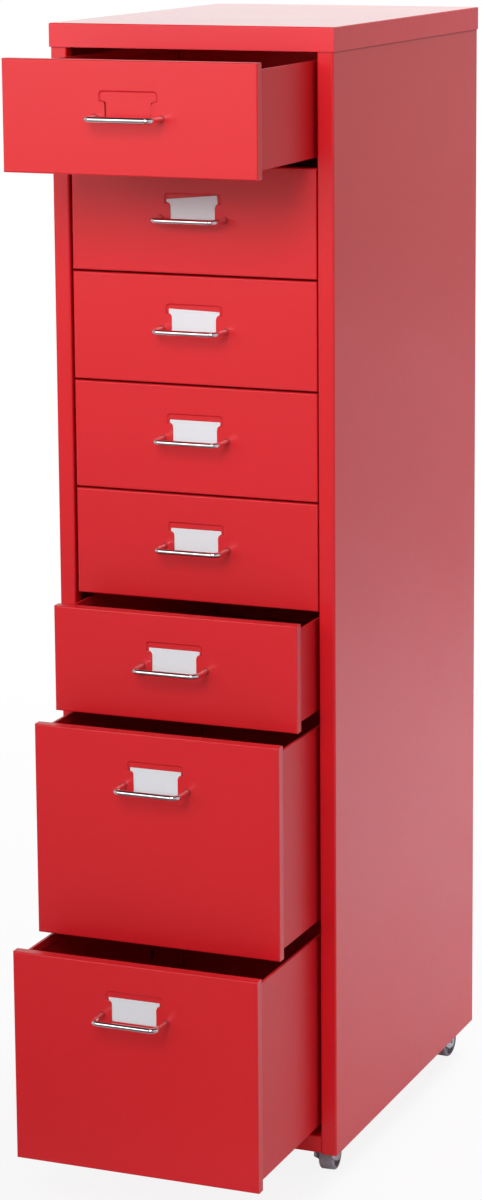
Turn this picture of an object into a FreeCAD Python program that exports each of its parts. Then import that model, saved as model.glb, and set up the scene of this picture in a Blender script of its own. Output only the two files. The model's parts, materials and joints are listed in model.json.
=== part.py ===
import FreeCAD, Part
import math
import os

from FreeCAD import Vector

os.makedirs("parts", exist_ok=True)

# Tall sheet-steel cabinet on four swivel casters, with six low drawers above two tall ones.
# Lengths are millimetres. The origin lies on the floor under the middle of the case. X runs to
# the right as seen from the front, Y to the back and Z up, so the drawers open towards -Y.
# The drawers stand as far open as they are photographed.

# Case
case_width = 280.0
case_depth = 400.0
case_sheet = 0.8
case_bend = 0.9
cap_skirt = 22.0
cap_slip = 0.2
cap_edge = 1.3
post_width = 15.7
post_return = 12.0
rear_flange = 15.0
back_flange = 12.0
base_rail = 16.3
base_slip = 0.2
floor_gap = 32.5

# Drawer fronts
low_front = 100.4
tall_front = 200.2
low_count = 6
tall_count = 2
front_gap = 1.8
top_gap = 2.0
side_gap = 1.8
front_recess = 2.8
front_flange = 10.0
front_edge = 1.3
drawer_sheet = 0.8

# Drawer boxes
box_inset = 2.5
box_below_top = 6.3
box_above_bottom = 7.5
box_back_gap = 12.0
hem_gap = 1.0
hem_depth = 8.0
rear_hem = 6.0
rear_wall_inset = 1.0
rear_wall_slip = 0.1
drawer_travel = 290.0
stop_hold = 2.2
stop_height = 10.0
stop_gap = 0.3
drawer_1_out = 138.2
drawer_6_out = 53.5
drawer_7_out = 98.7
drawer_8_out = 152.7

# Runners
runner_sheet = 1.2
runner_drop = 8.0
runner_overlap = 9.0
runner_gap = 0.05
runner_front_gap = 2.0
runner_back_gap = 7.0

# Label pocket and card
pocket_drop = 27.4
pocket_height = 29.0
pocket_lip = 1.6
pocket_slope = 1.4
ear_width = 53.6
ear_height = 7.2
ear_corner = 2.4
tongue_width = 44.4
shoulder = 3.3
shoulder_flats = 3
tongue_slit = 0.4
card_space = 0.4
window_margin = 1.5
card_width = 50.5
card_height = 24.3
card_sheet = 0.3
card_tilt_deg = {2: 5.5, 3: -1.5}
first_card = 2

# Handle
handle_rod = 5.0
handle_span = 63.5
handle_reach = 23.5
handle_bend = 6.5
handle_drop = 49.7
rod_flats = 12
bend_step_count = 2

# Casters
caster_inset_x = 24.0
caster_inset_y = 36.5
caster_plate = 38.0
caster_plate_sheet = 1.5
caster_plate_corner = 4.0
kingpin = 8.0
kingpin_head = 13.0
head_flats = 6
kingpin_head_rise = 1.5
swivel_gap = 0.3
fork_sheet = 1.5
fork_back = 14.0
fork_end = 6.0
fork_shoulder = 20.0
caster_trail = 10.0
wheel_diameter = 32.0
wheel_width = 15.0
wheel_gap = 0.3
wheel_rim = 2.8
wheel_spoke = 2.4
wheel_spokes = 5
hub_diameter = 10.0
axle = 4.0
axle_end = 1.0
caster_yaw_deg = {"front_left": 11.0, "front_right": 5.0, "rear_left": -12.0, "rear_right": -4.0}

# Clearances and overrun for cuts
running_clearance = 0.05
card_clearance = 0.05
overrun = 1.0
quarter_turn_deg = 90.0
half_turn_deg = 180.0
full_turn_deg = 360.0
half_share = 0.5
tolerance = 1e-6


# Sizes that follow from the ones above
drawer_count = low_count + tall_count
front_heights = [low_front] * low_count + [tall_front] * tall_count
case_height = (floor_gap + base_rail + front_gap + sum(front_heights)
               + front_gap * (drawer_count - 1) + top_gap + cap_skirt)
body_half = case_width / 2 - case_sheet - cap_slip
body_back = case_depth / 2 - case_sheet - cap_slip
body_front = -body_back
body_top = case_height - case_sheet
base_top = floor_gap + base_rail
opening_half = body_half - post_width
front_plane = body_front + front_recess
front_half = opening_half - side_gap
box_half = front_half - box_inset
box_front = front_plane + drawer_sheet
pan_face = box_front + card_space
pan_back = pan_face + drawer_sheet
box_back = body_back - 2 * case_sheet - box_back_gap
rear_wall_back = box_back - rear_wall_inset
hem_width = 2 * drawer_sheet + hem_gap
post_rear = body_front + post_return
stop_front = post_rear + drawer_travel + stop_gap
stop_reach = opening_half - box_half + stop_hold
runner_outer = body_half - case_sheet
runner_inner = box_half - runner_overlap
runner_front = front_plane + front_flange + runner_front_gap
runner_back = body_back - 2 * case_sheet - runner_back_gap
plate_top = base_top - case_sheet
plate_under = plate_top - caster_plate_sheet
crown_top = plate_under - swivel_gap
crown_under = crown_top - fork_sheet
kingpin_head_top = crown_under - swivel_gap
kingpin_head_under = kingpin_head_top - kingpin_head_rise
wheel_radius = wheel_diameter / 2
fork_half = wheel_width / 2 + wheel_gap + fork_sheet
drawer_out = {1: drawer_1_out, 6: drawer_6_out, 7: drawer_7_out, 8: drawer_8_out}
caster_x = case_width / 2 - caster_inset_x
caster_y = case_depth / 2 - caster_inset_y


# Outlines
def plan(z):
    """Place outline points in a level plane."""
    return lambda u, v: Vector(u, v, z)


def upright(y):
    """Place outline points in a plane across the cabinet."""
    return lambda u, v: Vector(u, y, v)


def sideways(x):
    """Place outline points in a plane along the cabinet's depth."""
    return lambda u, v: Vector(x, u, v)


def direction(start, end):
    length = math.hypot(end[0] - start[0], end[1] - start[1])
    return (end[0] - start[0]) / length, (end[1] - start[1]) / length


def bend_points(before, corner, after, radius):
    """Start, middle and end of the arc that rounds a corner."""
    in_u, in_v = direction(before, corner)
    out_u, out_v = direction(corner, after)
    turn = math.atan2(in_u * out_v - in_v * out_u, in_u * out_u + in_v * out_v)
    reach = radius * math.tan(abs(turn) / 2)
    side = math.copysign(radius, turn)
    start = (corner[0] - in_u * reach, corner[1] - in_v * reach)
    end = (corner[0] + out_u * reach, corner[1] + out_v * reach)
    centre = (start[0] - in_v * side, start[1] + in_u * side)
    away_u, away_v = direction(centre, corner)
    middle = (centre[0] + away_u * radius, centre[1] + away_v * radius)
    return start, middle, end


def rounded_wire(points, radii, place, closed=True):
    """A wire through the points with an arc of the given radius at each corner."""
    count = len(points)
    ends = []
    for i, (corner, radius) in enumerate(zip(points, radii)):
        if radius <= 0:
            ends.append((corner, None, corner))
        else:
            ends.append(bend_points(points[i - 1], corner, points[(i + 1) % count], radius))
    edges = []
    for i, (start, middle, end) in enumerate(ends):
        if middle:
            edges.append(Part.Arc(place(*start), place(*middle), place(*end)).toShape())
        if i == count - 1 and not closed:
            break
        following = ends[(i + 1) % count][0]
        if math.dist(end, following) > tolerance:
            edges.append(Part.LineSegment(place(*end), place(*following)).toShape())
    return Part.Wire(edges)


def folded_wire(points, thickness, bend, place, sharp=()):
    """Outline of a folded sheet. The points follow one face, with the sheet on its left.

    The bends at the sharp points are pressed flat, with no radius.
    """
    opposite = []
    face_radii = []
    opposite_radii = []
    for i, corner in enumerate(points):
        before = direction(points[i - 1], corner) if i > 0 else None
        after = direction(corner, points[i + 1]) if i < len(points) - 1 else None
        in_u, in_v = before or after
        out_u, out_v = after or before
        share = thickness / (1 + in_u * out_u + in_v * out_v)
        opposite.append((corner[0] - (in_v + out_v) * share, corner[1] + (in_u + out_u) * share))
        turn = in_u * out_v - in_v * out_u
        is_bend = before is not None and after is not None and i not in sharp
        face_radii.append((bend + (thickness if turn > 0 else 0)) if is_bend else 0)
        opposite_radii.append((bend + (0 if turn > 0 else thickness)) if is_bend else 0)
    return rounded_wire(points + opposite[::-1], face_radii + opposite_radii[::-1], place)


def extruded(wire, way):
    return Part.Face(wire).extrude(way)


def block(low, high):
    """A plain block between two corners."""
    return Part.makeBox(high[0] - low[0], high[1] - low[1], high[2] - low[2], Vector(*low))


def rod(diameter, start, end):
    """A round bar from one point to another."""
    way = Vector(*end) - Vector(*start)
    return Part.makeCylinder(diameter / 2, way.Length, Vector(*start), way)


def rectangle(half_u, low_v, high_v):
    return [(-half_u, low_v), (half_u, low_v), (half_u, high_v), (-half_u, high_v)]


def soft_block(half_u, low_v, high_v, edge, place, start, end):
    """A block whose starting face has rounded rims. They meet in mitres, as folds do."""
    across = [(-half_u, end), (-half_u, start), (half_u, start), (half_u, end)]
    along = [(low_v, end), (low_v, start), (high_v, start), (high_v, end)]
    radii = [0, edge, edge, 0]
    wide = Part.Face(rounded_wire(across, radii, lambda u, w: place(u, low_v, w)))
    tall = Part.Face(rounded_wire(along, radii, lambda v, w: place(-half_u, v, w)))
    wide = wide.extrude(place(0, high_v, 0) - place(0, low_v, 0))
    tall = tall.extrude(place(half_u, 0, 0) - place(-half_u, 0, 0))
    return wide.common(tall)


def folded_pan(half_u, low_v, high_v, edge, sheet, place, start, end):
    """A sheet pan: a face with folded rims all round, open behind."""
    inward = math.copysign(sheet, end - start)
    outer = soft_block(half_u, low_v, high_v, edge, place, start, end)
    return outer.cut(soft_block(half_u - sheet, low_v + sheet, high_v - sheet, 0, place, start + inward, end))


# Case
def top_cap():
    """The lid: a plate with skirts that slip over the case."""
    return folded_pan(case_width / 2, -case_depth / 2, case_depth / 2, cap_edge, case_sheet, Vector,
                      case_height, case_height - cap_skirt)


def side_panel(side):
    """One side of the case, with its front post and rear flange folded from the same sheet."""
    path = [
        (opening_half, post_rear),
        (opening_half, body_front),
        (body_half, body_front),
        (body_half, body_back),
        (body_half - rear_flange, body_back),
    ]
    wire = folded_wire(path, case_sheet, case_bend, plan(floor_gap), (3,))
    panel = extruded(wire, Vector(0, 0, body_top - floor_gap))
    if side < 0:
        panel = panel.mirror(Vector(0, 0, 0), Vector(1, 0, 0))
    return panel


def back_panel():
    """The back: a flat sheet inside the rear flanges, with a fold under the lid."""
    path = [
        (body_back - case_sheet - back_flange, body_top),
        (body_back - case_sheet, body_top),
        (body_back - case_sheet, floor_gap),
    ]
    half = body_half - case_sheet - case_bend - base_slip
    wire = folded_wire(path[::-1], case_sheet, case_bend, sideways(-half), (1,))
    return extruded(wire, Vector(2 * half, 0, 0))


def caster_places():
    """Where each caster's kingpin stands."""
    return {
        "front_left": (-caster_x, -caster_y),
        "front_right": (caster_x, -caster_y),
        "rear_left": (-caster_x, caster_y),
        "rear_right": (caster_x, caster_y),
    }


def base_panel():
    """The bottom: an upturned tray whose front fold is the rail under the last drawer."""
    tray_back = body_back - 2 * case_sheet
    channel = [
        (front_plane, floor_gap),
        (front_plane, base_top),
        (tray_back, base_top),
        (tray_back, floor_gap + base_slip),
    ]
    neck_half = opening_half - base_slip
    wire = folded_wire(channel[::-1], case_sheet, case_bend, sideways(-neck_half), (1,))
    tray = extruded(wire, Vector(2 * neck_half, 0, 0))
    wing_front = post_rear + base_slip
    wing = [
        (body_half - case_sheet, floor_gap + base_slip),
        (body_half - case_sheet, base_top),
        (neck_half - overrun, base_top),
    ]
    wing_wire = folded_wire(wing, case_sheet, case_bend, upright(wing_front), (1,))
    right = extruded(wing_wire, Vector(0, tray_back - case_bend - wing_front, 0))
    left = right.mirror(Vector(0, 0, 0), Vector(1, 0, 0))
    return tray.fuse([right, left]).removeSplitter()


def runner_rails(side):
    """The shelf angles on one side of the case, one under each drawer."""
    rails = []
    for number in range(1, drawer_count + 1):
        shelf = front_bottom(number) + box_above_bottom - runner_gap
        path = [
            (runner_outer, shelf - runner_drop),
            (runner_outer, shelf),
            (runner_inner, shelf),
        ]
        wire = folded_wire(path, runner_sheet, 0, upright(runner_front), (1,))
        rail = extruded(wire, Vector(0, runner_back - runner_front, 0))
        if side < 0:
            rail = rail.mirror(Vector(0, 0, 0), Vector(1, 0, 0))
        rails.append(rail)
    return Part.makeCompound(rails)


# Drawers
def front_top(number):
    """Height of a drawer front's upper edge. Drawer 1 is the highest."""
    above = sum(front_heights[:number - 1]) + front_gap * (number - 1)
    return case_height - cap_skirt - top_gap - above


def front_bottom(number):
    return front_top(number) - front_heights[number - 1]


def pocket_outline(top, y):
    """The T-shaped outline of the label pocket at one depth. Its rims slope in towards the pan."""
    spread = pocket_slope * (pan_face - y) / (pan_face - front_plane)
    ear = ear_width / 2 + spread
    tongue = tongue_width / 2
    low = top - pocket_height + pocket_lip
    step = top - ear_height - spread
    high = top + spread
    turns = [math.radians(quarter_turn_deg * i / shoulder_flats) for i in range(shoulder_flats + 1)]
    neck = [(tongue + shoulder * (1 - math.cos(a)), step - shoulder * (1 - math.sin(a))) for a in turns]
    right = [(tongue, low)] + neck + [(ear, step), (ear, high)]
    points = right + [(-u, v) for u, v in right[::-1]]
    radii = [0] * len(points)
    radii[len(right) - 1:len(right) + 1] = [ear_corner + spread] * 2
    return rounded_wire(points, radii, upright(y))


def pocket_pan(top):
    """The pressed-back part of the pocket. A card stands in front of it and behind the skin."""
    step = top - ear_height
    foot = step - pocket_slope
    low = top - pocket_height
    ear = ear_width / 2
    rim = ear + pocket_slope
    dish = block((-rim, box_front, foot), (rim, pan_back, top + pocket_slope))
    corners = rectangle(ear, foot - overrun, top)
    outline = rounded_wire(corners, [0, 0, ear_corner, ear_corner], upright(box_front))
    card_way = extruded(outline, Vector(0, pan_face - box_front, 0))
    tongue = tongue_width / 2 - tongue_slit
    tongue_plate = block((-tongue, pan_face, low), (tongue, pan_back, step))
    ledge = block((-tongue_width / 2, box_front, low - drawer_sheet), (tongue_width / 2, pan_back, low))
    return dish.cut(card_way).fuse([tongue_plate, ledge])


def drawer_front(number):
    """The front: a folded pan with the lanced label pocket."""
    top = front_top(number)
    skin = folded_pan(front_half, front_bottom(number), top, front_edge, drawer_sheet,
                      lambda u, v, w: Vector(u, w, v), front_plane, front_plane + front_flange)
    pocket_top = top - pocket_drop
    ends = [pocket_outline(pocket_top, front_plane - overrun), pocket_outline(pocket_top, pan_face)]
    recess = Part.makeLoft(ends, True, True)
    return skin.fuse(pocket_pan(pocket_top)).cut(recess).removeSplitter()


def drawer_tray(number):
    """The box's tray: floor and sides folded from one sheet, hemmed along the top, and a front wall."""
    low = front_bottom(number) + box_above_bottom
    high = front_top(number) - box_below_top
    inner = box_half - hem_width
    path = [
        (-inner, high - hem_depth), (-inner, high), (-box_half, high), (-box_half, low),
        (box_half, low), (box_half, high), (inner, high), (inner, high - hem_depth),
    ]
    wire = folded_wire(path, drawer_sheet, 0, upright(box_front), range(len(path)))
    trough = extruded(wire, Vector(0, box_back - box_front, 0))
    wall = box_half - drawer_sheet / 2
    front_wall = block((-wall, box_front, low + drawer_sheet / 2), (wall, box_front + drawer_sheet, high))
    window_half = ear_width / 2 + pocket_slope + window_margin
    window_top = front_top(number) - pocket_drop + pocket_slope + window_margin
    window_low = front_top(number) - pocket_drop - pocket_height - drawer_sheet - window_margin
    window = block((-window_half, box_front - overrun, window_low),
                   (window_half, box_front + drawer_sheet + overrun, window_top))
    tray = trough.fuse(front_wall.cut(window))
    middle = (low + high) / 2
    tabs = []
    slots = []
    for side in (-1, 1):
        ends = sorted((side * wall, side * (box_half + stop_reach)))
        tab_low = (ends[0], stop_front, middle - stop_height / 2)
        tab_high = (ends[1], stop_front + drawer_sheet, middle + stop_height / 2)
        tabs.append(block(tab_low, tab_high))
        cut_ends = sorted((side * (box_half - drawer_sheet - overrun), side * (box_half + overrun)))
        slot_low = (cut_ends[0], stop_front + drawer_sheet, middle - stop_height / 2)
        slot_high = (cut_ends[1], stop_front + drawer_sheet + stop_reach, middle + stop_height / 2)
        slots.append(block(slot_low, slot_high))
    return tray.cut(slots).fuse(tabs).removeSplitter()


def drawer_rear_wall(number):
    """The wall that closes the tray behind, with a flange folded forward along its top."""
    low = front_bottom(number) + box_above_bottom + drawer_sheet
    high = front_top(number) - box_below_top
    inner = box_half - hem_width - rear_wall_slip
    path = [(rear_wall_back, low), (rear_wall_back, high), (rear_wall_back - rear_hem, high)]
    wire = folded_wire(path, drawer_sheet, 0, sideways(-inner), (1,))
    wall = extruded(wire, Vector(2 * inner, 0, 0))
    side = box_half - drawer_sheet
    low_half = block((-side, rear_wall_back - drawer_sheet, low),
                     (side, rear_wall_back, high - hem_depth - rear_wall_slip))
    return wall.fuse(low_half).removeSplitter()


def drawer_handle(number):
    """The pull: a round rod bent twice. Each bend is a run of short mitred lengths."""
    half = handle_span / 2
    bar = front_plane - handle_reach
    z = front_top(number) - handle_drop
    corners = [(half, bar), (-half, bar)]
    path = [(half, front_plane)]
    for corner in corners:
        quarter = math.radians(quarter_turn_deg)
        toward = math.copysign(handle_bend, corner[0])
        centre = (corner[0] - toward, corner[1] + handle_bend)
        reach = handle_bend / math.cos(quarter / bend_step_count / 2)
        angles = [quarter * (i + half_share) / bend_step_count for i in range(bend_step_count)]
        turn = [(centre[0] + math.copysign(reach, toward) * math.cos(a), centre[1] - reach * math.sin(a))
                for a in angles]
        path += turn if toward > 0 else turn[::-1]
    path.append((-half, front_plane))
    spine = rounded_wire(path, [0] * len(path), plan(z), closed=False)
    flats = [math.radians(full_turn_deg * (i + half_share) / rod_flats) for i in range(rod_flats)]
    reach = handle_rod / 2 / math.cos(math.radians(half_turn_deg / rod_flats))
    ring = [(half + reach * math.cos(a), z + reach * math.sin(a)) for a in flats]
    section = rounded_wire(ring, [0] * rod_flats, upright(front_plane))
    return spine.makePipeShell([section], True, False, 1)


def drawer_label(number):
    """The card in the pocket. A slipped card leans on one end of the pocket's ledge."""
    low = front_top(number) - pocket_drop - pocket_height
    face = box_front + card_clearance
    card = block((-card_width / 2, face, low), (card_width / 2, face + card_sheet, low + card_height))
    tilt = card_tilt_deg.get(number)
    if tilt:
        card.translate(Vector(card_height * math.sin(math.radians(tilt)) / 2, 0, 0))
        card.rotate(Vector(-math.copysign(tongue_width / 2, tilt), face, low), Vector(0, -1, 0), tilt)
    return card


# Casters
def swung(shape, name):
    """Turn a caster piece to its resting angle and move it to its kingpin."""
    x, y = caster_places()[name]
    turned = shape.copy()
    turned.rotate(Vector(0, 0, 0), Vector(0, 0, 1), caster_yaw_deg[name])
    turned.translate(Vector(x, y, 0))
    return turned


def caster_plates():
    """The fixed halves of the casters: a plate and a kingpin with a six-sided head each."""
    plates = []
    for x, y in caster_places().values():
        half = caster_plate / 2
        cut = half - caster_plate_corner
        points = [(-half, -cut), (-cut, -half), (cut, -half), (half, -cut),
                  (half, cut), (cut, half), (-cut, half), (-half, cut)]
        corners = [(x + u, y + v) for u, v in points]
        outline = rounded_wire(corners, [0] * len(corners), plan(plate_under))
        plate = extruded(outline, Vector(0, 0, caster_plate_sheet))
        pin = rod(kingpin, (x, y, kingpin_head_under), (x, y, plate_top))
        flats = [math.radians(full_turn_deg * i / head_flats) for i in range(head_flats)]
        ring = [(x + kingpin_head / 2 * math.cos(a), y + kingpin_head / 2 * math.sin(a)) for a in flats]
        nut = rounded_wire(ring, [0] * head_flats, plan(kingpin_head_under))
        head = extruded(nut, Vector(0, 0, kingpin_head_rise))
        plates.append(plate.fuse([pin, head]).removeSplitter())
    return Part.makeCompound(plates)


def caster_fork(name):
    """The swivelling fork: a folded strip cut to a tapering side outline."""
    low = wheel_radius - fork_end
    path = [(fork_half, low), (fork_half, crown_top), (-fork_half, crown_top), (-fork_half, low)]
    strip = folded_wire(path, fork_sheet, 0, upright(-fork_back), (1, 2))
    fork = extruded(strip, Vector(0, fork_back + caster_trail + fork_end, 0))
    outline = [
        (-fork_back, fork_shoulder),
        (caster_trail - fork_end, low),
        (caster_trail + fork_end, low),
        (caster_trail + fork_end, crown_top),
        (-fork_back, crown_top),
    ]
    tip = fork_end - tolerance
    side = extruded(rounded_wire(outline, [0, 0, tip, 0, 0], sideways(-fork_half)),
                    Vector(2 * fork_half, 0, 0))
    pin_hole = kingpin + 2 * running_clearance
    holes = [
        rod(pin_hole, (0, 0, crown_under - overrun), (0, 0, crown_top + overrun)),
        rod(axle, (-fork_half - overrun, caster_trail, wheel_radius),
            (fork_half + overrun, caster_trail, wheel_radius)),
    ]
    return swung(fork.common(side).cut(holes), name)


def caster_wheel(name):
    """The wheel: a rim, a hub and spokes with openings between them."""
    half = wheel_width / 2
    wheel = rod(wheel_diameter, (-half, 0, 0), (half, 0, 0))
    bore = rod(axle + 2 * running_clearance, (-half - overrun, 0, 0), (half + overrun, 0, 0))
    cuts = [bore]
    sector = math.radians(full_turn_deg / wheel_spokes)
    hub = hub_diameter / 2
    rim = wheel_radius - wheel_rim
    for i in range(wheel_spokes):
        points = []
        for radius, side in ((hub, -1), (rim, -1), (rim, 1), (hub, 1)):
            lean = math.asin(wheel_spoke / 2 / radius)
            angle = sector * i + side * (sector / 2 - lean)
            points.append((radius * math.cos(angle), radius * math.sin(angle)))
        opening = rounded_wire(points, [0] * len(points), sideways(-half - overrun))
        cuts.append(extruded(opening, Vector(wheel_width + 2 * overrun, 0, 0)))
    wheel = wheel.cut(cuts)
    wheel.translate(Vector(0, caster_trail, wheel_radius))
    return swung(wheel, name)


def caster_axle(name):
    """The axle: a pin riveted into both legs of the fork."""
    end = fork_half + axle_end
    return swung(rod(axle, (-end, caster_trail, wheel_radius), (end, caster_trail, wheel_radius)), name)


# Every piece by name
pieces = {
    "top_cap": top_cap(),
    "side_panel_left": side_panel(-1),
    "side_panel_right": side_panel(1),
    "back_panel": back_panel(),
    "base_panel": base_panel(),
    "runner_rails_left": runner_rails(-1),
    "runner_rails_right": runner_rails(1),
    "caster_plates": caster_plates(),
}
for number in range(1, drawer_count + 1):
    out = Vector(0, -drawer_out.get(number, 0), 0)
    drawer = {
        "front": drawer_front(number),
        "tray": drawer_tray(number),
        "rear_wall": drawer_rear_wall(number),
        "handle": drawer_handle(number),
    }
    if number >= first_card:
        drawer["label"] = drawer_label(number)
    for part_name, shape in drawer.items():
        shape.translate(out)
        pieces[f"drawer_{number}_{part_name}"] = shape
for name in caster_places():
    pieces[f"caster_{name}_fork"] = caster_fork(name)
    pieces[f"caster_{name}_wheel"] = caster_wheel(name)
    pieces[f"caster_{name}_axle"] = caster_axle(name)

for name, shape in pieces.items():
    shape.exportStep(f"parts/{name}.step")
    box = shape.BoundBox
    print(f"{name}: {len(shape.Solids)} solid(s), {shape.Volume:.0f} mm3, valid {shape.isValid()},"
          f" x {box.XMin:.1f} to {box.XMax:.1f}, y {box.YMin:.1f} to {box.YMax:.1f},"
          f" z {box.ZMin:.1f} to {box.ZMax:.1f}")
print(len(pieces), "pieces, case height", case_height)
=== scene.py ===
# %% [markdown]
# # A tall red drawer cabinet on casters
#
# The cabinet is folded sheet steel with a red powder coat: a case, eight drawers, a rod pull on
# each drawer, card pockets, and four small casters. The solids come ready made from the frame, in
# metres, at their real size. This lesson gives them their finishes, makes again the small parts
# that need rounder meshes, and lights the whole for a picture.
#
# The first step loads the frame and keeps its box, so that the dressed model can be set against it
# at the end.

# %% Load the frame
import json
import math

import bmesh
import bpy
from mathutils import Matrix, Vector

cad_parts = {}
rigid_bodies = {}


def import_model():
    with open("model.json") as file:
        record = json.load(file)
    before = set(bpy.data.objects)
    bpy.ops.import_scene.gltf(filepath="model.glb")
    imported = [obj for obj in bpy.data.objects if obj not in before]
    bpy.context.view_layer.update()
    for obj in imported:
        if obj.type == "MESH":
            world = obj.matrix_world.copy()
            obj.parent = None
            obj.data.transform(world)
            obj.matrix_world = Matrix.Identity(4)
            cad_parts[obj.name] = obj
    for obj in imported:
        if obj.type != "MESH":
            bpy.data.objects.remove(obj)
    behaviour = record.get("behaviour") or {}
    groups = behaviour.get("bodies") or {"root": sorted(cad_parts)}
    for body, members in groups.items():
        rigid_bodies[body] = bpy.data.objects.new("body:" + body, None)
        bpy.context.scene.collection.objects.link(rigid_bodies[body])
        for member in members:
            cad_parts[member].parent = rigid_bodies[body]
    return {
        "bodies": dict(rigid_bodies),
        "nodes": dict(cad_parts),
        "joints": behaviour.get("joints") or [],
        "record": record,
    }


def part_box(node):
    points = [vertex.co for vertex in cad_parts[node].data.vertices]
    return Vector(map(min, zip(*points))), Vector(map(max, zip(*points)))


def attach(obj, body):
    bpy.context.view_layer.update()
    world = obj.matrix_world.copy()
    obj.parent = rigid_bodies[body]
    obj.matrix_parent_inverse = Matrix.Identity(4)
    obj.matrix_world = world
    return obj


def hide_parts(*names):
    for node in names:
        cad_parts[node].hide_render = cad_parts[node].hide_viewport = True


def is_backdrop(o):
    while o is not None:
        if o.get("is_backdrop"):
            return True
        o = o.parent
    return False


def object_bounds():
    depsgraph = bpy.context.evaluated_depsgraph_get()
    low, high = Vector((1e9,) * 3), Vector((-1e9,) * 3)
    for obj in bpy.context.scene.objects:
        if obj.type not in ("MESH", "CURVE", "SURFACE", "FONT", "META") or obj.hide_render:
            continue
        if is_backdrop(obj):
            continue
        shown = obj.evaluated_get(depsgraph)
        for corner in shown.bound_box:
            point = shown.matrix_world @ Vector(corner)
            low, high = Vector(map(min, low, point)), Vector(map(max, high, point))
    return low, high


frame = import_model()
frame_low, frame_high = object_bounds()
nodes = frame["nodes"]
drawers = sorted(name for name in frame["bodies"] if name.startswith("drawer_"))
casters = sorted(name for name in frame["bodies"] if name.startswith("caster_"))
joints = {joint["name"]: joint for joint in frame["joints"]}
print(len(nodes), "solids,", len(drawers), "drawers,", len(casters), "casters")

# %% [markdown]
# ## Camera
#
# The photograph was taken from the front right, a little above the lid, with a long lens. The
# edges of the case run to vanishing points, and those gave the camera's place, its direction and
# its focal length. The picture is a crop from a larger one, so its middle is not where the lens
# pointed: a small shift puts the frame where the crop was.

# %% Camera
picture_width, picture_height = 482, 1200
focal_pixels = 3325.62
lens_centre = (300, 460)
film_width = 36
camera_place = Vector((1.20594, -2.96725, 1.24513))
turn_deg, down_deg, roll_deg = 21.681, 10.406, -0.281

camera_data = bpy.data.cameras.new("camera")
camera = bpy.data.objects.new("camera", camera_data)
bpy.context.scene.collection.objects.link(camera)
camera_data.sensor_width = film_width
camera_data.lens = focal_pixels / picture_height * film_width
camera_data.shift_x = (picture_width / 2 - lens_centre[0]) / picture_height
camera_data.shift_y = (lens_centre[1] - picture_height / 2) / picture_height
aim = (
    Matrix.Rotation(math.radians(turn_deg), 4, "Z")
    @ Matrix.Rotation(math.radians(90 - down_deg), 4, "X")
    @ Matrix.Rotation(math.radians(roll_deg), 4, "Z")
)
camera.location = camera_place
camera.rotation_euler = aim.to_euler()
bpy.context.scene.camera = camera
print("camera at", tuple(round(v, 3) for v in camera_place), "lens", round(camera_data.lens, 1), "mm")

# %% [markdown]
# ## Floor and light
#
# The photograph has a plain white ground and very soft light. A pale floor catches the shadow. It
# turns to plain white further out, so that no horizon shows. Reflections see the real floor for
# longer than the camera does, because the red paint mirrors it, and a floor that is plain white
# from close by would bleach the paint.
#
# The colours are looked at with the Standard view, which shows a colour as it is written. The
# materials are built from nodes, and a few short helpers keep that readable.

# %% Node helpers
def add_node(tree, kind, settings=None, **inputs):
    """A node with its settings, and with its inputs set to values or linked to outputs.

    An input is named as in the editor, with _ for a space, or i0, i1 and so on by its place.
    """
    made = tree.nodes.new(kind)
    for key, value in (settings or {}).items():
        setattr(made, key, value)
    for key, value in inputs.items():
        socket = made.inputs[int(key[1:]) if key[1:].isdigit() else key.replace("_", " ")]
        if isinstance(value, bpy.types.NodeSocket):
            tree.links.new(value, socket)
        else:
            socket.default_value = value
    return made


def maths(tree, operation, first, second):
    """One step of arithmetic on two numbers."""
    return add_node(tree, "ShaderNodeMath", {"operation": operation}, i0=first, i1=second).outputs[0]


def vector_maths(tree, operation, **inputs):
    """A length or a dot product, as a number."""
    return add_node(tree, "ShaderNodeVectorMath", {"operation": operation}, **inputs).outputs["Value"]


def noise(tree, place, scale, detail=3, roughness=0.5):
    """Soft noise with its size given in cycles to the metre."""
    made = add_node(tree, "ShaderNodeTexNoise", Vector=place, Scale=scale, Detail=detail,
                    Roughness=roughness)
    return made.outputs["Fac"]


def spread(tree, value, low, high, from_low=0.3, from_high=0.7):
    """Maps a value onto the range from low to high. Noise keeps mostly between 0.3 and 0.7."""
    made = add_node(tree, "ShaderNodeMapRange", Value=value, From_Min=from_low, From_Max=from_high,
                    To_Min=low, To_Max=high)
    return made.outputs["Result"]


def blend_colours(tree, share, first, second):
    """Blends two colours by a share."""
    made = add_node(tree, "ShaderNodeMix", {"data_type": "RGBA"}, i0=share, i6=first, i7=second)
    return made.outputs[2]


def blend_shaders(tree, share, first, second):
    """Blends two shaders by a share."""
    return add_node(tree, "ShaderNodeMixShader", i0=share, i1=first.outputs[0], i2=second.outputs[0])


def mirror_rays(tree):
    """Tells which rays come from a camera, and which from a mirror or a glass."""
    path = tree.nodes.new("ShaderNodeLightPath")
    mirrored = maths(tree, "MAXIMUM", path.outputs["Is Glossy Ray"], path.outputs["Is Transmission Ray"])
    return path.outputs["Is Camera Ray"], mirrored


bpy.context.scene.view_settings.view_transform = "Standard"
print("view:", bpy.context.scene.view_settings.view_transform)

# %% [markdown]
# The floor is a large sheet. A grid of a few faces is enough for it, because its grain comes from
# its finish. It is marked as part of the stage, so that it isn't taken for part of the cabinet.

# %% Floor
floor_half = 14.0

floor_mesh = bpy.data.meshes.new("floor")
floor_form = bmesh.new()
bmesh.ops.create_grid(floor_form, x_segments=2, y_segments=2, size=floor_half)
floor_form.to_mesh(floor_mesh)
floor_form.free()
floor = bpy.data.objects.new("floor", floor_mesh)
bpy.context.scene.collection.objects.link(floor)
floor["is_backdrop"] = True
print("floor", 2 * floor_half, "m square")

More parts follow.
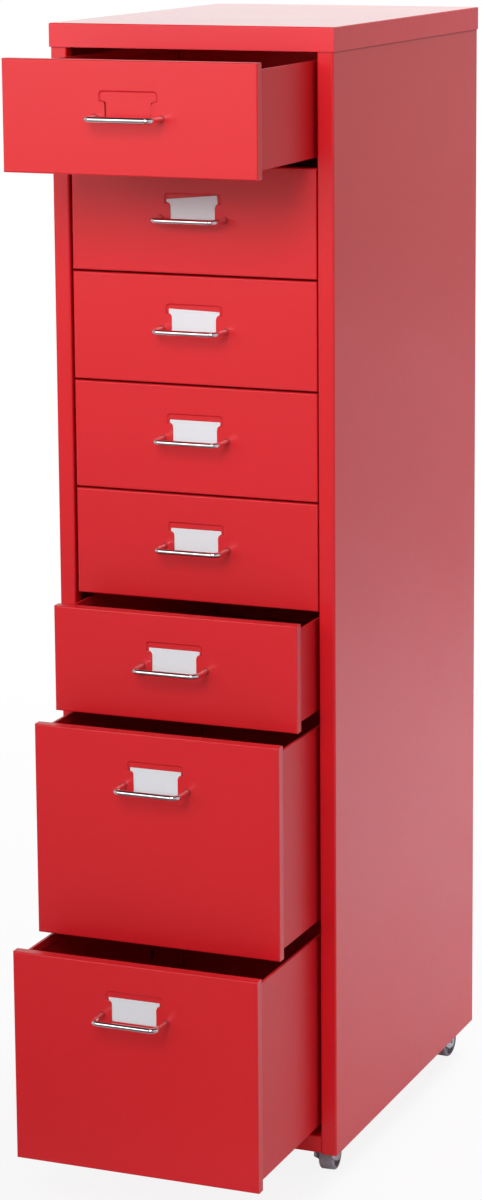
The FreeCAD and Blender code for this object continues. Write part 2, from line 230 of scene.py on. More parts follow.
# %% [markdown]
# The floor looks like paper with a slight grain. The camera sees it through a veil of plain white,
# so that only a faint shadow shows, and sees nothing but white from 1.8 m out. In mirrors the
# white sets in only from 7 m out. Chrome shows its shape only where it mirrors something dark next
# to something bright, so a photographer lays a black card on the ground in front. Here the floor
# itself looks dark there, and only to mirror rays.

# %% Floor paper
paper_grain = 30
paper_tones = ((0.85, 0.85, 0.85, 1), (0.87, 0.87, 0.87, 1))
white_tone = (1, 1, 1, 1)
seen_white = {"from_low": 0.5, "from_high": 1.8, "low": 0.88, "high": 1.0}
mirrored_white = {"from_low": 7.0, "from_high": 14.0, "low": 0.0, "high": 1.0}
dark_tone = (0.1, 0.1, 0.1, 1)
dark_reach = {"from_low": 1.0, "from_high": 1.4, "low": 1.0, "high": 0.0}
dark_front = {"from_low": -0.6, "from_high": -0.3, "low": 1.0, "high": 0.0}

floor_paper = bpy.data.materials.new("floor_paper")
floor_paper.use_nodes = True
tree = floor_paper.node_tree
tree.nodes.clear()
place = tree.nodes.new("ShaderNodeTexCoord").outputs["Object"]
distance = vector_maths(tree, "LENGTH", i0=place)
depth = add_node(tree, "ShaderNodeSeparateXYZ", Vector=place).outputs["Y"]
camera_ray, mirror_ray = mirror_rays(tree)

grain = spread(tree, noise(tree, place, paper_grain), 0.0, 1.0)
paper_tone = blend_colours(tree, grain, *paper_tones)
in_front, within_reach = spread(tree, depth, **dark_front), spread(tree, distance, **dark_reach)
dark_share = maths(tree, "MULTIPLY", maths(tree, "MULTIPLY", in_front, within_reach), mirror_ray)
paper_tone = blend_colours(tree, dark_share, paper_tone, dark_tone)

seen_share = maths(tree, "MULTIPLY", spread(tree, distance, **seen_white), camera_ray)
mirrored_share = maths(tree, "MULTIPLY", spread(tree, distance, **mirrored_white), mirror_ray)
white_share = maths(tree, "MAXIMUM", seen_share, mirrored_share)
paper = add_node(tree, "ShaderNodeBsdfDiffuse", Color=paper_tone)
glow = add_node(tree, "ShaderNodeEmission", Color=white_tone, Strength=1.0)
surface = blend_shaders(tree, white_share, paper, glow)
tree.links.new(surface.outputs[0], tree.nodes.new("ShaderNodeOutputMaterial").inputs["Surface"])
floor_mesh.materials.append(floor_paper)
print("the floor's finish has", len(tree.nodes), "nodes")

# %% [markdown]
# The world is three things at once. To the camera it is plain white, and as light it is an even
# fill. To mirror rays it is a room in half light: a bright backdrop at the back left, which whitens
# the lid at its shallow angle, and a dark ceiling, which draws a dark line along each pull. Real
# walls could do the same, but they would throw light and shadow, and show in other views.

# %% World
fill_strength = 0.36
backdrop_way = (-0.36, 0.93, 0.1)
backdrop = {"from_low": 0.80, "from_high": 0.93, "low": 0.52, "high": 1.0}
ceiling = {"from_low": 0.55, "from_high": 0.75, "low": 1.0, "high": 0.04}

world = bpy.data.worlds.new("studio")
bpy.context.scene.world = world
world.use_nodes = True
tree = world.node_tree
tree.nodes.clear()
way = tree.nodes.new("ShaderNodeTexCoord").outputs["Generated"]
height = add_node(tree, "ShaderNodeSeparateXYZ", Vector=way).outputs["Z"]
towards = vector_maths(tree, "DOT_PRODUCT", i0=way, i1=backdrop_way)
mirrored = maths(tree, "MULTIPLY", spread(tree, towards, **backdrop), spread(tree, height, **ceiling))
camera_ray, mirror_ray = mirror_rays(tree)
fill, room, white = (add_node(tree, "ShaderNodeBackground", Color=white_tone, Strength=strength)
                     for strength in (fill_strength, mirrored, 1.0))
blend = blend_shaders(tree, camera_ray, blend_shaders(tree, mirror_ray, fill, room), white)
tree.links.new(blend.outputs[0], tree.nodes.new("ShaderNodeOutputWorld").inputs["Surface"])
print("the world fills in at", fill_strength)

# %% [markdown]
# Two softboxes in front light the drawers, one in the middle and a larger one at the left. A weak
# wide lamp fills in from the right. The side panel is seen at a shallow angle, where its coat is
# nearly a mirror, so its tone is set by the ground behind at the right. Two softboxes hang over
# that ground and point straight down. Each lamp is given by where it stands, what it points at,
# its width, the spread of its beam, its power and its tint.

# %% Lamps
daylight, cool = (1.0, 1.0, 1.0), (0.84, 0.88, 1.0)
lamps = {
    "key_softbox": ((0.2, -2.2, 1.85), (0.0, -0.2, 1.08), 1.0, 90, 8.4, daylight),
    "left_softbox": ((-1.6, -2.8, 1.65), (0.0, -0.2, 1.25), 1.6, 90, 5.4, daylight),
    "right_fill": ((2.4, -1.2, 1.3), (0.1, 0.0, 0.4), 1.6, 180, 2.5, cool),
    "floor_softbox": ((0.65, 1.25, 2.2), (0.65, 1.25, 0.0), 1.4, 120, 24, cool),
    "far_softbox": ((1.7, 4.7, 2.2), (1.7, 4.7, 0.0), 1.4, 120, 18, cool),
}
for name, (stand, target, width, spread_deg, power, tint) in lamps.items():
    lamp = bpy.data.lights.new(name, "AREA")
    lamp.size = width
    lamp.spread = math.radians(spread_deg)
    lamp.energy = power
    lamp.color = tint
    holder = bpy.data.objects.new(name, lamp)
    holder.location = stand
    holder.rotation_euler = (Vector(target) - Vector(stand)).to_track_quat("-Z", "Y").to_euler()
    bpy.context.scene.collection.objects.link(holder)
    print(name, "at", stand, power, "W")

# %% [markdown]
# ## Red powder coat
#
# Powder coat is sprayed on dry and baked, so it is an even skin with a slight orange peel, finer
# than a millimetre and a half. It is glossier than it looks from the front: at a shallow angle it
# mirrors the white studio. Handling leaves it duller in soft patches, and along folds and cut
# edges it is thinner and rubbed a little paler. The bevel node finds those edges: it gives a
# normal that is rounded over a small radius, and where that differs from the face's own normal,
# there is an edge. Seams and inside corners get painted shade, and their coat is dulled. The
# ambient occlusion node finds them: it tells how much of the space round a point is taken up by
# something near. The peel is far too fine to be modelled, so it is a pattern that only tilts the light.

# %% Finish helpers
def new_material(name):
    """A material, its nodes, its shader and the place of each point on the piece."""
    made = bpy.data.materials.new(name)
    made.use_nodes = True
    tree = made.node_tree
    return made, tree, tree.nodes["Principled BSDF"], tree.nodes.new("ShaderNodeTexCoord").outputs["Object"]


def shade(colour, share, lift=0.0):
    """A colour made darker or paler, with the fourth number that a socket needs."""
    return tuple(share * c + lift for c in colour) + (1,)


def bump(tree, shader, height, depth, rounded=None):
    """Turns a height into a normal. The depth is in metres."""
    made = add_node(tree, "ShaderNodeBump", Height=height, Distance=depth, Strength=1.0)
    if rounded:
        tree.links.new(rounded, made.inputs["Normal"])
    tree.links.new(made.outputs["Normal"], shader.inputs["Normal"])


def near_edges(tree, radius, **limits):
    """A normal that is rounded along edges, and a share that rises towards 1 there."""
    rounded = add_node(tree, "ShaderNodeBevel", {"samples": 4}, Radius=radius).outputs["Normal"]
    facing = tree.nodes.new("ShaderNodeNewGeometry").outputs["Normal"]
    alike = vector_maths(tree, "DOT_PRODUCT", i0=rounded, i1=facing)
    return rounded, spread(tree, alike, 1.0, 0.0, **limits)


def near_seams(tree, reach, **limits):
    """A share that is 1 in seams and inside corners, and 0 on open faces."""
    open_share = add_node(tree, "ShaderNodeAmbientOcclusion", {"samples": 8}, Distance=reach).outputs["AO"]
    return spread(tree, open_share, 1.0, 0.0, **limits)


print("finish helpers ready")

# %% [markdown]
# One function makes the finish, and the case, the lid, the fronts and the drawer boxes take it
# with small differences. Its patterns go from clouds 400 mm across down to the peel. The lid's
# level top is the glossiest, because it mirrors the bright backdrop in the photograph.

# %% Powder coat
millimetre = 0.001
micron = 0.001 * millimetre
cloud_scale, hand_scale, rub_scale, speck_scale, peel_scale = 2.5, 6, 40, 120, 720
# The third share is the painted shade in seams: how much of the red is left there.
deep_share, pale_share, seam_shade_share = 0.95, 1.03, 0.4
worn_share, worn_lift = 1.08, 0.03
edge_radius, edge_limits = 0.6 * millimetre, {"from_low": 0.75, "from_high": 0.995}
seam_reach, seam_limits = 2 * millimetre, {"from_low": 0.5, "from_high": 0.95}
rubbed = {"low": 0.1, "high": 0.6}
level_limits = {"from_low": 0.3, "from_high": 0.95}
hand_dulling = {"low": -0.01, "high": 0.02}
speck_dulling = {"low": -0.008, "high": 0.008}
# Seams, where the painted shade falls, are also made a little rougher.
seam_dulling = 0.5
coat_ior = 1.5


def powder_coat(name, colour, upright_rough, level_rough, peel):
    """An enamel, with its roughness on upright and on level faces, and the depth of its peel."""
    made, tree, shader, place = new_material(name)
    clouds = spread(tree, noise(tree, place, cloud_scale), 0.0, 1.0)
    tone = blend_colours(tree, clouds, shade(colour, deep_share), shade(colour, pale_share))
    rounded, edges = near_edges(tree, edge_radius, **edge_limits)
    worn = maths(tree, "MULTIPLY", edges, spread(tree, noise(tree, place, rub_scale), **rubbed))
    tone = blend_colours(tree, worn, tone, shade(colour, worn_share, worn_lift))
    # Painted shade: seams and inside corners are darkened, and their coat is dulled.
    seam_shade = near_seams(tree, seam_reach, **seam_limits)
    tone = blend_colours(tree, seam_shade, tone, shade(colour, seam_shade_share))
    tree.links.new(tone, shader.inputs["Base Color"])

    facing = tree.nodes.new("ShaderNodeNewGeometry").outputs["Normal"]
    upward = add_node(tree, "ShaderNodeSeparateXYZ", Vector=facing).outputs["Z"]
    rough = spread(tree, upward, upright_rough, level_rough, **level_limits)
    for dulling in (
        spread(tree, noise(tree, place, hand_scale, 4, 0.6), **hand_dulling),
        spread(tree, noise(tree, place, speck_scale, 2), **speck_dulling),
        maths(tree, "MULTIPLY", seam_shade, seam_dulling),
    ):
        rough = maths(tree, "ADD", rough, dulling)
    tree.links.new(rough, shader.inputs["Roughness"])
    shader.inputs["IOR"].default_value = coat_ior
    bump(tree, shader, noise(tree, place, peel_scale, 2), peel, rounded)
    return made


red = (0.70, 0.009, 0.016)
# Painted light: the lid's red is a paler copy of the case's red, so that the lid looks more brightly lit.
lit_lid_red = (0.77, 0.017, 0.030)
drawer_red = tuple(0.97 * c for c in red)
finishes = {
    "case_enamel": powder_coat("case_enamel", red, 0.30, 0.30, 6 * micron),
    "lit_lid_enamel": powder_coat("lit_lid_enamel", lit_lid_red, 0.32, 0.09, 3 * micron),
    "front_enamel": powder_coat("front_enamel", red, 0.34, 0.34, 9 * micron),
    "drawer_enamel": powder_coat("drawer_enamel", drawer_red, 0.45, 0.45, 9 * micron),
}
print("powder coats:", ", ".join(finishes))

# %% [markdown]
# ## Chrome and zinc
#
# The pulls are bright chrome with faint smudges. Screws and caster forks are zinc plated, which
# is a duller metal with a fine grain. One function makes both: soft clouds darken the metal a
# little, a finer pattern varies its polish, and the finest one is its grain.

# %% Metals
smudge_scale, polish_scale = 60, 180
smudged_share = 0.84


def metal(name, colour, smoothest, roughest, grain_scale, grain_depth):
    """A metal, with the limits of its roughness and the size and depth of its grain."""
    made, tree, shader, place = new_material(name)
    shader.inputs["Metallic"].default_value = 1.0
    smudges = spread(tree, noise(tree, place, smudge_scale, 4), 0.0, 1.0)
    tone = blend_colours(tree, smudges, shade(colour, 1.0), shade(colour, smudged_share))
    tree.links.new(tone, shader.inputs["Base Color"])
    polish = spread(tree, noise(tree, place, polish_scale, 4), smoothest, roughest)
    tree.links.new(polish, shader.inputs["Roughness"])
    bump(tree, shader, noise(tree, place, grain_scale), grain_depth)
    return made


finishes["handle_chrome"] = metal("handle_chrome", (0.86, 0.86, 0.87), 0.03, 0.07, 60, 2 * micron)
finishes["caster_steel"] = metal("caster_steel", (0.60, 0.59, 0.61), 0.30, 0.46, 1100, 10 * micron)
print("metals: handle_chrome, caster_steel")

# %% [markdown]
# ## Nylon and card
#
# The wheels are grey nylon, scuffed paler and duller in places. The cards are plain white board
# with a soft fibre. Both go between two tones by one pattern, which dulls them too.

# %% Nylon and card
fine_detail = 0.7


def mottled(name, scale, detail, limits, tones, roughs, grain_scale, grain_depth):
    """A plain stuff that goes between two tones, and between two roughnesses, by one pattern."""
    made, tree, shader, place = new_material(name)
    share = spread(tree, noise(tree, place, scale, detail, fine_detail), 0.0, 1.0, *limits)
    tree.links.new(blend_colours(tree, share, *tones), shader.inputs["Base Color"])
    tree.links.new(spread(tree, share, *roughs, 0.0, 1.0), shader.inputs["Roughness"])
    bump(tree, shader, noise(tree, place, grain_scale), grain_depth)
    return made


nylon_tones = ((0.38, 0.34, 0.38, 1), (0.52, 0.49, 0.52, 1))
card_tones = ((0.73, 0.74, 0.77, 1), (0.79, 0.80, 0.83, 1))
finishes["caster_nylon"] = mottled("caster_nylon", 210, 5, (0.45, 0.75), nylon_tones, (0.38, 0.62),
                                   1500, 20 * micron)
finishes["label_card"] = mottled("label_card", 1800, 4, (0.3, 0.7), card_tones, (0.62, 0.8),
                                 2400, 10 * micron)
print("nylon and card ready")

# %% [markdown]
# The record names a finish for each solid. The lid is part of the case there, but it is glossier,
# and its red is painted paler, as painted light that makes it look more brightly lit, so it takes
# its own coat.

# %% Give every solid its finish
slot_of = {part["node"]: part["material_slot"] for part in frame["record"]["subparts"]}
for name, solid in nodes.items():
    solid.data.materials.clear()
    solid.data.materials.append(finishes["lit_lid_enamel" if name == "top_cap" else slot_of[name]])
print(len(nodes), "solids dressed")

# %% [markdown]
# ## From a form to a piece
#
# Each new piece is shaped as a bmesh, with its place already in its points. It then becomes an
# object at the origin, takes one of the finishes, and rides on the body that carries it. Where it
# stands for a solid of the frame, the solid is hidden.

# %% Finish a piece
crease_deg = 35


def mesh_of(name, form):
    """A mesh made from a form, which isn't needed after it."""
    mesh = bpy.data.meshes.new(name)
    form.to_mesh(mesh)
    form.free()
    return mesh


def finish_piece(name, form, slot, body, replaced=()):
    """Makes an object from a form, smooth except at its sharp edges."""
    mesh = mesh_of(name, form)
    mesh.shade_smooth()
    mesh.set_sharp_from_angle(angle=math.radians(crease_deg))
    mesh.materials.append(finishes[slot])
    piece = bpy.data.objects.new(name, mesh)
    bpy.context.scene.collection.objects.link(piece)
    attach(piece, body)
    if replaced:
        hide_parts(*replaced)
    return piece


print("edges sharper than", crease_deg, "degrees stay sharp")

# %% [markdown]
# ## Pulls
#
# Each pull is a chromed steel rod, 5 mm thick, bent twice so that its two legs stand on the front.
# The solid has short mitred lengths for its bends. A curve with a round bevel would be smoother,
# but its ends would be square. Here the rod is drawn as a bender would make it: a ring of edges is
# pushed out from the front, swung round each bend with a spin, and pushed on. The ring starts and
# ends a little smaller, because the ends of the rod are broken with a file.

# %% Ring helpers
def only(items, kind):
    """The vertices or the edges of a list, in its order."""
    return [item for item in items if isinstance(item, kind)]


def ring_verts(ring):
    """The vertices of a ring of edges, each once and in order."""
    return list(dict.fromkeys(vert for edge in ring for vert in edge.verts))


def push_ring(form, ring, way, scale=1.0):
    """Extrudes a ring of edges along a vector, and scales it about its middle."""
    grown = bmesh.ops.extrude_edge_only(form, edges=ring)["geom"]
    fresh = only(grown, bmesh.types.BMVert)
    bmesh.ops.translate(form, verts=fresh, vec=way)
    if scale != 1.0:
        middle = sum((vert.co for vert in fresh), Vector()) / len(fresh)
        bmesh.ops.scale(form, verts=fresh, vec=(scale, scale, scale), space=Matrix.Translation(-middle))
    known = set(fresh)
    return [edge for edge in only(grown, bmesh.types.BMEdge) if known.issuperset(edge.verts)]


def swing_ring(form, ring, centre, axis, angle_deg, steps):
    """Sweeps a ring of edges round an axis."""
    swept = bmesh.ops.spin(form, geom=ring_verts(ring) + ring, cent=centre, axis=axis, dvec=(0, 0, 0),
                           angle=math.radians(angle_deg), steps=steps, use_duplicate=False)
    return only(swept["geom_last"], bmesh.types.BMEdge)


print("ring helpers ready")

# %% Pulls
rod_sides = 32
bend_steps = 12
bend_radius = 6.5 * millimetre
broken_end = 0.25 * millimetre


def bent_rod(low, high):
    """A rod with two legs, inside the box of the solid that it stands for."""
    radius = (high.z - low.z) / 2
    half = (high.x - low.x) / 2 - radius
    bar = low.y + radius
    foot = high.y
    height = (low.z + high.z) / 2
    turn_x, turn_y = half - bend_radius, bar + bend_radius
    leg = foot - turn_y - broken_end
    filed = radius / (radius - broken_end)

    form = bmesh.new()
    start = Matrix.Translation((half, foot, height)) @ Matrix.Rotation(math.pi / 2, 4, "X")
    bmesh.ops.create_circle(form, cap_ends=True, segments=rod_sides, radius=radius - broken_end,
                            matrix=start)
    ring = list(form.edges)
    ring = push_ring(form, ring, Vector((0, -broken_end, 0)), filed)
    ring = push_ring(form, ring, Vector((0, -leg, 0)))
    ring = swing_ring(form, ring, (turn_x, turn_y, height), (0, 0, 1), -90, bend_steps)
    ring = push_ring(form, ring, Vector((-2 * turn_x, 0, 0)))
    ring = swing_ring(form, ring, (-turn_x, turn_y, height), (0, 0, 1), -90, bend_steps)
    ring = push_ring(form, ring, Vector((0, leg, 0)))
    ring = push_ring(form, ring, Vector((0, broken_end, 0)), 1 / filed)
    bmesh.ops.contextual_create(form, geom=ring)
    bmesh.ops.recalc_face_normals(form, faces=form.faces)
    return form


for drawer in drawers:
    node = f"{drawer}_handle"
    pull = finish_piece(f"{drawer}_pull", bent_rod(*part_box(node)), "handle_chrome", drawer, [node])
print("pulls with", len(pull.data.polygons), "faces each")

# %% [markdown]
# ## Screws
#
# Small cross-head screws hold the back panel and the caster plates, and two in each drawer clamp
# its pull from behind. One form serves for all: a low domed head with a cross pressed into it, and
# a short threaded shank. The cross could be cut out with a boolean, but that leaves long thin
# faces. Here it starts as a round ring on top of the head. Each of its points keeps its direction
# and moves in to the outline of two crossed bars, and then the ring is pushed down.

# %% Screw head
head_sides = 24
rim_share = 0.45
dome_steps = ((0.28, 0.94), (0.17, 0.84), (0.08, 0.72))
cross_half, cross_slot, cross_depth, cross_taper = 0.42, 0.11, 0.5, 0.85


def press_cross(form, ring, half, slot, depth):
    """Draws a round ring in to the outline of a cross, and presses it down."""
    ring = push_ring(form, ring, Vector((0, 0, 0)))
    for vert in ring_verts(ring):
        way = vert.co.xy.normalized()
        across, up = max(abs(way.x), 0.001), max(abs(way.y), 0.001)
        reach = max(min(half / across, slot / up), min(slot / across, half / up))
        vert.co.xy = reach * way
    ring = push_ring(form, ring, Vector((0, 0, -depth)), cross_taper)
    bmesh.ops.contextual_create(form, geom=ring)


def add_head(form, radius, rise):
    """A domed head that stands on the origin."""
    bmesh.ops.create_circle(form, cap_ends=True, segments=head_sides, radius=radius)
    ring = push_ring(form, list(form.edges), Vector((0, 0, rim_share * rise)))
    for climb, shrink in dome_steps:
        ring = push_ring(form, ring, Vector((0, 0, climb * rise)), shrink)
    press_cross(form, ring, cross_half * radius, cross_slot * radius, cross_depth * rise)


print("a screw's head has", head_sides, "sides")

# %% [markdown]
# The shank is a slim cone. The thread could be left to a bump, but a screw seen from the side would
# give that away. It is a small three-cornered face, swept round the shank with a spin that climbs
# as it turns. A short length under the head stays plain.

# %% Screw shank
shank_sides = 12
tip_share, root_share, crest_share = 0.8, 0.9, 1.25
thread_steps = 10


def add_shank(form, radius, length, pitch, plain):
    """A threaded shank that hangs from the origin."""
    middle = Matrix.Translation((0, 0, -length / 2))
    bmesh.ops.create_cone(form, cap_ends=True, segments=shank_sides, radius1=tip_share * radius,
                          radius2=radius, depth=length, matrix=middle)
    root, crest = root_share * radius, crest_share * radius
    profile = ((root, 0, -length), (crest, 0, pitch / 2 - length), (root, 0, pitch - length))
    ridge = form.faces.new([form.verts.new(point) for point in profile])
    turns = (length - plain) / pitch
    steps = round(thread_steps * turns)
    step_up = (length - plain - pitch) / steps
    bmesh.ops.spin(form, geom=[ridge, *ridge.edges, *ridge.verts], cent=(0, 0, 0), axis=(0, 0, 1),
                   angle=turns * math.tau, dvec=(0, 0, step_up), steps=steps, use_duplicate=False)


print("a thread takes", thread_steps, "steps for each turn")

# %% [markdown]
# The three screws that the cabinet needs differ only in their sizes, in millimetres: the radius
# and the rise of the head, and the shank's radius, its length, the pitch of its thread and its
# plain length.

# %% The three screws
screw_sizes = {
    "panel_screw": (3.4, 1.9, 1.7, 7.0, 1.2, 1.0),
    "plate_screw": (2.0, 1.3, 1.1, 4.0, 0.8, 0.4),
    "pull_screw": (3.2, 1.9, 1.6, 5.0, 0.9, 0.4),
}
screws = {}
for name, sizes in screw_sizes.items():
    head, rise, shank, length, pitch, plain = (size * millimetre for size in sizes)
    form = bmesh.new()
    add_head(form, head, rise)
    add_shank(form, shank, length, pitch, plain)
    bmesh.ops.recalc_face_normals(form, faces=form.faces)
    screws[name] = mesh_of(name, form)
    print(name, "with", len(screws[name].polygons), "faces")

# %% [markdown]
# Ten screws go through the back panel into the side panels' rear flanges. Each one is turned a
# little differently, as screws are when they are driven by hand.

# %% Screws in the back panel
facing_back = Matrix.Rotation(-math.pi / 2, 4, "X")
row_low, row_high = 0.072, 1.049
row_turns = (0.3, 1.1, 0.7, 1.4, 0.1)
flange_middle = 7.8 * millimetre


def screw_place(spot, facing, turn):
    """The matrix of a screw at a spot, turned about its own length."""
    return Matrix.Translation(spot) @ facing @ Matrix.Rotation(turn, 4, "Z")


def set_screws(name, template, body, places):
    """Copies of one screw, each turned and moved by a matrix, in one piece."""
    form = bmesh.new()
    for place in places:
        turned = template.copy()
        turned.transform(place)
        form.from_mesh(turned)
        bpy.data.meshes.remove(turned)
    return finish_piece(name, form, "caster_steel", body)


side_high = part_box("side_panel_right")[1]
places = []
for side in (-1, 1):
    for row, turn in enumerate(row_turns):
        height = row_low + (row_high - row_low) * row / (len(row_turns) - 1)
        spot = (side * (side_high.x - flange_middle), side_high.y, height)
        places.append(screw_place(spot, facing_back, side * turn))
set_screws("back_panel_screws", screws["panel_screw"], "cabinet", places)
print(len(places), "screws in the back panel")

# %% [markdown]
# Each caster hangs on a plate, which four small screws hold to the base from below.

# %% Screws in the caster plates
facing_down = Matrix.Rotation(math.pi, 4, "X")
plate_reach = 15.3 * millimetre
plate_thickness = 1.5 * millimetre
turn_per_metre = 60

plate_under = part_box("caster_plates")[1].z - plate_thickness
places = []
for caster in casters:
    pivot = Vector(joints[f"{caster}_swivel"]["pos_m"])
    for across in (-plate_reach, plate_reach):
        for along in (-plate_reach, plate_reach):
            spot = (pivot.x + across, pivot.y + along, plate_under)
            places.append(screw_place(spot, facing_down, turn_per_metre * (across + pivot.y)))
set_screws("caster_plate_screws", screws["plate_screw"], "cabinet", places)
print(len(places), "screws in the caster plates")

# %% [markdown]
# Inside each drawer, two screws reach through the front and the box into the legs of the pull.
# They move with the drawer.

# %% Screws behind the pulls
two_sheets = 1.6 * millimetre
pull_turn = 0.6

for drawer in drawers:
    low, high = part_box(f"{drawer}_handle")
    leg = (high.x - low.x) / 2 - (high.z - low.z) / 2
    behind, height = high.y + two_sheets, (low.z + high.z) / 2
    places = [screw_place((side * leg, behind, height), facing_back, side * pull_turn) for side in (-1, 1)]
    set_screws(f"{drawer}_pull_screws", screws["pull_screw"], drawer, places)
print(len(places), "screws in each of", len(drawers), "drawers")

# %% [markdown]
# ## Cards
#
# The card in each pocket is thin white board with its corners just blunted by handling. On a flat
# sheet each corner is a single point, which is easy to bevel. So the card starts as a sheet of two
# by two faces, is turned upright, and is then given its thickness with solidify. The card of the
# second drawer has slipped and leans in its pocket, and the third one leans a little the other way.

# %% Cards
card_width, card_height, card_board = 50.5 * millimetre, 24.3 * millimetre, 0.3 * millimetre
ledge_drop, ledge_half = 56.4 * millimetre, 22.2 * millimetre
blunted_corner, corner_steps = 0.5 * millimetre, 3
leaning_deg = {"drawer_2": 5.5, "drawer_3": -1.5}


def card_form(foot, face, lean_deg):
    """A card that stands on its pocket's ledge, or leans on one end of it."""
    form = bmesh.new()
    bmesh.ops.create_grid(form, x_segments=2, y_segments=2, size=0.5)
    bmesh.ops.scale(form, verts=form.verts, vec=(card_width, card_height, 1))
    corners = [vert for vert in form.verts if len(vert.link_edges) == 2]
    bmesh.ops.bevel(form, geom=corners, offset=blunted_corner, offset_type="OFFSET", segments=corner_steps,
                    profile=0.5, affect="VERTICES", material=-1)
    upright = Matrix.Translation((0, face, foot + card_height / 2)) @ Matrix.Rotation(math.pi / 2, 4, "X")
    bmesh.ops.transform(form, matrix=upright, verts=form.verts)
    bmesh.ops.solidify(form, geom=form.faces, thickness=card_board)
    ahead = min(vert.co.y for vert in form.verts) - face
    bmesh.ops.translate(form, verts=form.verts, vec=(0, -ahead, 0))
    if lean_deg:
        lean = math.radians(lean_deg)
        pivot = (-math.copysign(ledge_half, lean), face, foot)
        bmesh.ops.translate(form, verts=form.verts, vec=(card_height * math.sin(lean) / 2, 0, 0))
        bmesh.ops.rotate(form, verts=form.verts, cent=pivot, matrix=Matrix.Rotation(-lean, 3, "Y"))
    bmesh.ops.recalc_face_normals(form, faces=form.faces)
    return form


for drawer in drawers:
    node = f"{drawer}_label"
    if node in nodes:
        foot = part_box(f"{drawer}_front")[1].z - ledge_drop
        solid_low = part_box(node)[0]
        form = card_form(foot, solid_low.y, leaning_deg.get(drawer, 0))
        card = finish_piece(f"{drawer}_card", form, "label_card", drawer, [node])
        card_low = Vector([min(vert.co[axis] for vert in card.data.vertices) for axis in range(3)])
        apart = (card_low - solid_low).length / millimetre
        print(card.name, "stands within", round(apart, 2), "mm of its solid")

# %% [markdown]
# ## Wheels
#
# The wheels are moulded nylon: a rim with a softly rounded tread, a hub, and five spokes between
# them. The rim and the hub could be cylinders with their middles cut out. A small outline spun a
# full turn round the axle gives the same ring, and its tread is rounded before it is spun.

# %% A spun ring
round_steps, spin_steps = 6, 64


def spun_ring(inner, outer, half, rounding):
    """A ring round the X axis, from an outline with rounded outer corners."""
    form = bmesh.new()
    corners = ((-half, inner, 0), (half, inner, 0), (half, outer, 0), (-half, outer, 0))
    outline = [form.verts.new(point) for point in corners]
    form.faces.new(outline)
    bmesh.ops.bevel(form, geom=outline[2:], offset=rounding, offset_type="OFFSET", segments=round_steps,
                    profile=0.5, affect="VERTICES", material=-1)
    ring = list(form.verts) + list(form.edges)
    bmesh.ops.delete(form, geom=list(form.faces), context="FACES_ONLY")
    bmesh.ops.spin(form, geom=ring, cent=(0, 0, 0), axis=(1, 0, 0), dvec=(0, 0, 0), angle=math.tau,
                   steps=spin_steps, use_merge=True, use_duplicate=False)
    return form


print("a ring is spun in", spin_steps, "steps")

# %% [markdown]
# The spokes are bars with broken edges, which run a little into the rim and the hub. Each wheel is
# made round the origin, and then turned and moved onto its own axle, which its joint gives.

# %% Wheels
wheel_half = 7.5 * millimetre
rim_depth, tread_round = 2.8 * millimetre, 2.2 * millimetre
hub_radius, bore_radius, hub_round = 5.0 * millimetre, 2.05 * millimetre, 0.5 * millimetre
spokes, spoke_thickness, spoke_half = 5, 2.4 * millimetre, 5.2 * millimetre
spoke_overlap, spoke_edge, spoke_edge_steps = 0.5 * millimetre, 0.4 * millimetre, 2


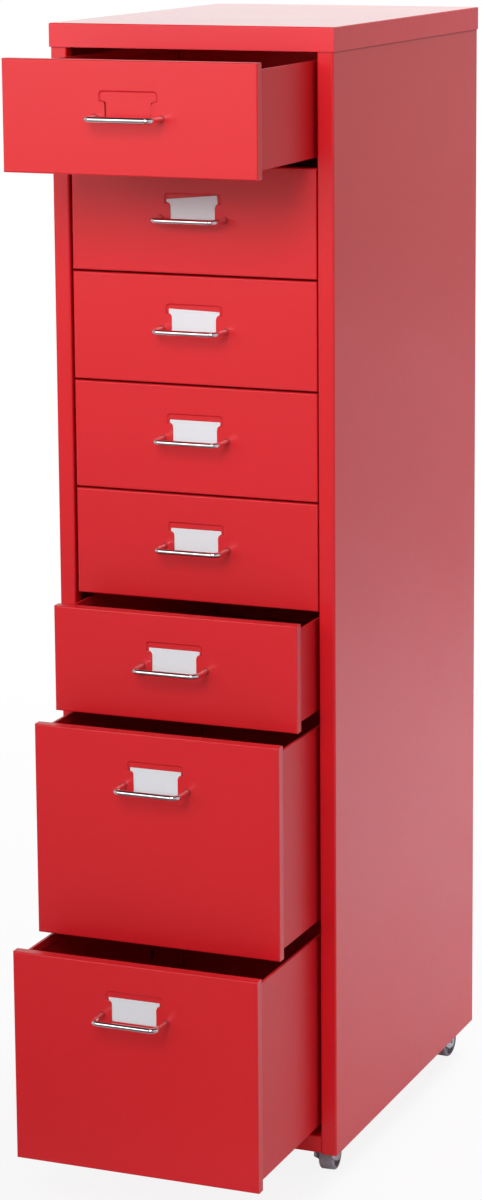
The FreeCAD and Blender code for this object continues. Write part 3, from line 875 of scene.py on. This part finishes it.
def wheel_form(centre, axis, outer):
    """A wheel of the given radius, on its axle's centre and along its axis."""
    form = spun_ring(outer - rim_depth, outer, wheel_half, tread_round)
    hub = mesh_of("hub", spun_ring(bore_radius, hub_radius, wheel_half, hub_round))
    form.from_mesh(hub)
    bpy.data.meshes.remove(hub)
    inner, reach = hub_radius - spoke_overlap, outer - rim_depth + spoke_overlap
    for spoke in range(spokes):
        place = (
            Matrix.Rotation(math.tau * (spoke + 0.5) / spokes, 4, "X")
            @ Matrix.Translation((0, (inner + reach) / 2, 0))
            @ Matrix.Diagonal((2 * spoke_half, reach - inner, spoke_thickness, 1))
        )
        verts = bmesh.ops.create_cube(form, size=1, matrix=place)["verts"]
        edges = list(dict.fromkeys(edge for vert in verts for edge in vert.link_edges))
        bmesh.ops.bevel(form, geom=edges, offset=spoke_edge, offset_type="OFFSET",
                        segments=spoke_edge_steps, profile=0.5, affect="EDGES", material=-1)
    bmesh.ops.recalc_face_normals(form, faces=form.faces)
    placed = Matrix.Translation(centre) @ Matrix.Rotation(math.atan2(axis.y, axis.x), 4, "Z")
    bmesh.ops.transform(form, matrix=placed, verts=form.verts)
    return form


for caster in casters:
    roll = joints[f"{caster}_roll"]
    centre, axis = Vector(roll["pos_m"]), Vector(roll["axis"])
    wheel = finish_piece(f"{caster}_tyre", wheel_form(centre, axis, centre.z), "caster_nylon",
                         caster.replace("caster", "wheel"), [f"{caster}_wheel"])
print("wheels with", len(wheel.data.polygons), "faces each")

# %% [markdown]
# ## Forks and axles
#
# The forks are folded strip and the axles are turned pins, and their solids have the right shape.
# Only their edges are too sharp. A copy of each one's mesh is merged, its flat faces are joined,
# and its sharp edges are bevelled, so that they catch the light as real edges do.

# %% Forks and axles
merge_distance = micron
flat_deg, sharp_deg = 2, 40
broken_edge, edge_steps = 0.25 * millimetre, 2


def softened(solid):
    """A merged copy of a solid's mesh with its sharp edges bevelled."""
    form = bmesh.new()
    form.from_mesh(solid.data)
    bmesh.ops.remove_doubles(form, verts=form.verts, dist=merge_distance)
    bmesh.ops.dissolve_limit(form, angle_limit=math.radians(flat_deg), verts=form.verts, edges=form.edges)
    sharp = [edge for edge in form.edges
             if len(edge.link_faces) == 2 and edge.calc_face_angle() > math.radians(sharp_deg)]
    bmesh.ops.bevel(form, geom=sharp, offset=broken_edge, offset_type="OFFSET", segments=edge_steps,
                    profile=0.5, affect="EDGES", material=-1, clamp_overlap=True)
    bmesh.ops.recalc_face_normals(form, faces=form.faces)
    return form


for caster in casters:
    for part in ("fork", "axle"):
        node = f"{caster}_{part}"
        soft = finish_piece(f"{node}_soft", softened(nodes[node]), "caster_steel", caster, [node])
        print(soft.name, "with", len(soft.data.polygons), "faces")

# %% [markdown]
#
# The dressed model keeps to the box that the frame gave. Both boxes are gathered, and their sizes
# printed.

# %% Sizes
low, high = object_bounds()
sizes = {
    "cad": [list(frame_low), list(frame_high)],
    "visual": [list(low), list(high)],
}
print("cad box", [round(v, 4) for v in frame_high - frame_low])
print("dressed", [round(v, 4) for v in high - low])
